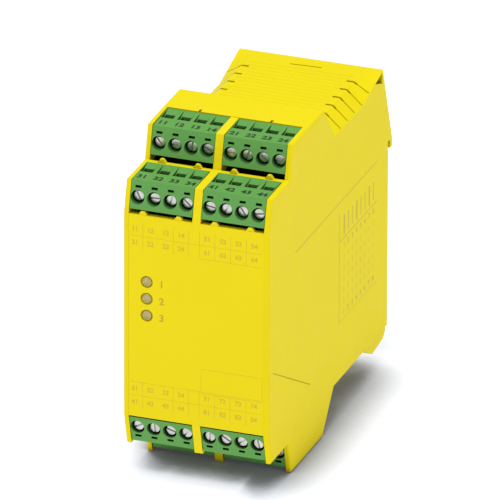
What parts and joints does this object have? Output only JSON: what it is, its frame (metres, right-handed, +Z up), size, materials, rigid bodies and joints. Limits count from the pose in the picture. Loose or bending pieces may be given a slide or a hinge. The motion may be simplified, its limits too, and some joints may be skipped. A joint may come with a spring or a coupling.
{
  "type": "safety relay",
  "caption": "Rail-mounted safety relay: stepped yellow housing, front panel with status lenses, pull-off green screw-terminal plugs, sealed relays inside and a sprung rail catch.",
  "frame": {"origin": "middle of the bounding box at its base, on the flat land under the lower ridge", "axes": "+X across the width to the right as seen from the front, +Y from the front panel to the mounting rail, +Z up"},
  "size_m": [0.045, 0.106, 0.105],
  "materials": {
    "housing_yellow": "fine matt moulded",
    "cover_yellow": "fine matt moulded",
    "catch_yellow": "matt moulded",
    "plug_green": "satin moulded",
    "header_green": "satin moulded",
    "screw_steel": "nickel plated",
    "clamp_steel": "tin plated",
    "pin_brass": "tinned",
    "lens_clear": "translucent",
    "board_green": "solder lacquer",
    "relay_white": "satin",
    "can_metal": "satin sleeve",
    "diode_white": "gloss",
    "link_black": "matt",
    "spring_steel": "bright"
  },
  "bodies": {
    "housing": {"housing": "housing_yellow", "front_cover": "cover_yellow", "status_lens_1": "lens_clear", "status_lens_2": "lens_clear", "status_lens_3": "lens_clear", "header_top_back_left": "header_green", "pins_top_back_left": "pin_brass", "header_top_back_right": "header_green", "pins_top_back_right": "pin_brass", "header_top_front_left": "header_green", "pins_top_front_left": "pin_brass", "header_top_front_right": "header_green", "pins_top_front_right": "pin_brass", "header_bottom_front_left": "header_green", "pins_bottom_front_left": "pin_brass", "header_bottom_front_right": "header_green", "pins_bottom_front_right": "pin_brass", "header_bottom_back_left": "header_green", "pins_bottom_back_left": "pin_brass", "header_bottom_back_right": "header_green", "pins_bottom_back_right": "pin_brass", "circuit_board_left": "board_green", "relay_left": "relay_white", "circuit_board_right": "board_green", "relay_right": "relay_white", "capacitor_1": "can_metal", "capacitor_2": "can_metal", "status_diodes": "diode_white", "board_link": "link_black", "catch_spring": "spring_steel"},
    "terminal_plug_top_back_left": {"plug_top_back_left": "plug_green", "screws_top_back_left": "screw_steel", "clamps_top_back_left": "clamp_steel"},
    "terminal_plug_top_back_right": {"plug_top_back_right": "plug_green", "screws_top_back_right": "screw_steel", "clamps_top_back_right": "clamp_steel"},
    "terminal_plug_top_front_left": {"plug_top_front_left": "plug_green", "screws_top_front_left": "screw_steel", "clamps_top_front_left": "clamp_steel"},
    "terminal_plug_top_front_right": {"plug_top_front_right": "plug_green", "screws_top_front_right": "screw_steel", "clamps_top_front_right": "clamp_steel"},
    "terminal_plug_bottom_front_left": {"plug_bottom_front_left": "plug_green", "screws_bottom_front_left": "screw_steel", "clamps_bottom_front_left": "clamp_steel"},
    "terminal_plug_bottom_front_right": {"plug_bottom_front_right": "plug_green", "screws_bottom_front_right": "screw_steel", "clamps_bottom_front_right": "clamp_steel"},
    "terminal_plug_bottom_back_left": {"plug_bottom_back_left": "plug_green", "screws_bottom_back_left": "screw_steel", "clamps_bottom_back_left": "clamp_steel"},
    "terminal_plug_bottom_back_right": {"plug_bottom_back_right": "plug_green", "screws_bottom_back_right": "screw_steel", "clamps_bottom_back_right": "clamp_steel"},
    "rail_catch": {"rail_catch": "catch_yellow"}
  },
  "joints": [
    {"name": "plug_pull_top_back_left", "type": "slide", "parent": "housing", "child": "terminal_plug_top_back_left", "axis": [0, -1, 0], "range_m": [0, 0.021]},
    {"name": "plug_pull_top_back_right", "type": "slide", "parent": "housing", "child": "terminal_plug_top_back_right", "axis": [0, -1, 0], "range_m": [0, 0.021]},
    {"name": "plug_pull_top_front_left", "type": "slide", "parent": "housing", "child": "terminal_plug_top_front_left", "axis": [0, -1, 0], "range_m": [0, 0.021]},
    {"name": "plug_pull_top_front_right", "type": "slide", "parent": "housing", "child": "terminal_plug_top_front_right", "axis": [0, -1, 0], "range_m": [0, 0.021]},
    {"name": "plug_pull_bottom_front_left", "type": "slide", "parent": "housing", "child": "terminal_plug_bottom_front_left", "axis": [0, -1, 0], "range_m": [0, 0.021]},
    {"name": "plug_pull_bottom_front_right", "type": "slide", "parent": "housing", "child": "terminal_plug_bottom_front_right", "axis": [0, -1, 0], "range_m": [0, 0.021]},
    {"name": "plug_pull_bottom_back_left", "type": "slide", "parent": "housing", "child": "terminal_plug_bottom_back_left", "axis": [0, -1, 0], "range_m": [0, 0.021]},
    {"name": "plug_pull_bottom_back_right", "type": "slide", "parent": "housing", "child": "terminal_plug_bottom_back_right", "axis": [0, -1, 0], "range_m": [0, 0.021]},
    {"name": "catch_slide", "type": "slide", "parent": "housing", "child": "rail_catch", "axis": [0, 0, -1], "range_m": [0, 0.0045], "stiffness_N_per_m": 600, "springref_m": -0.002, "deforming": ["catch_spring"]}
  ]
}
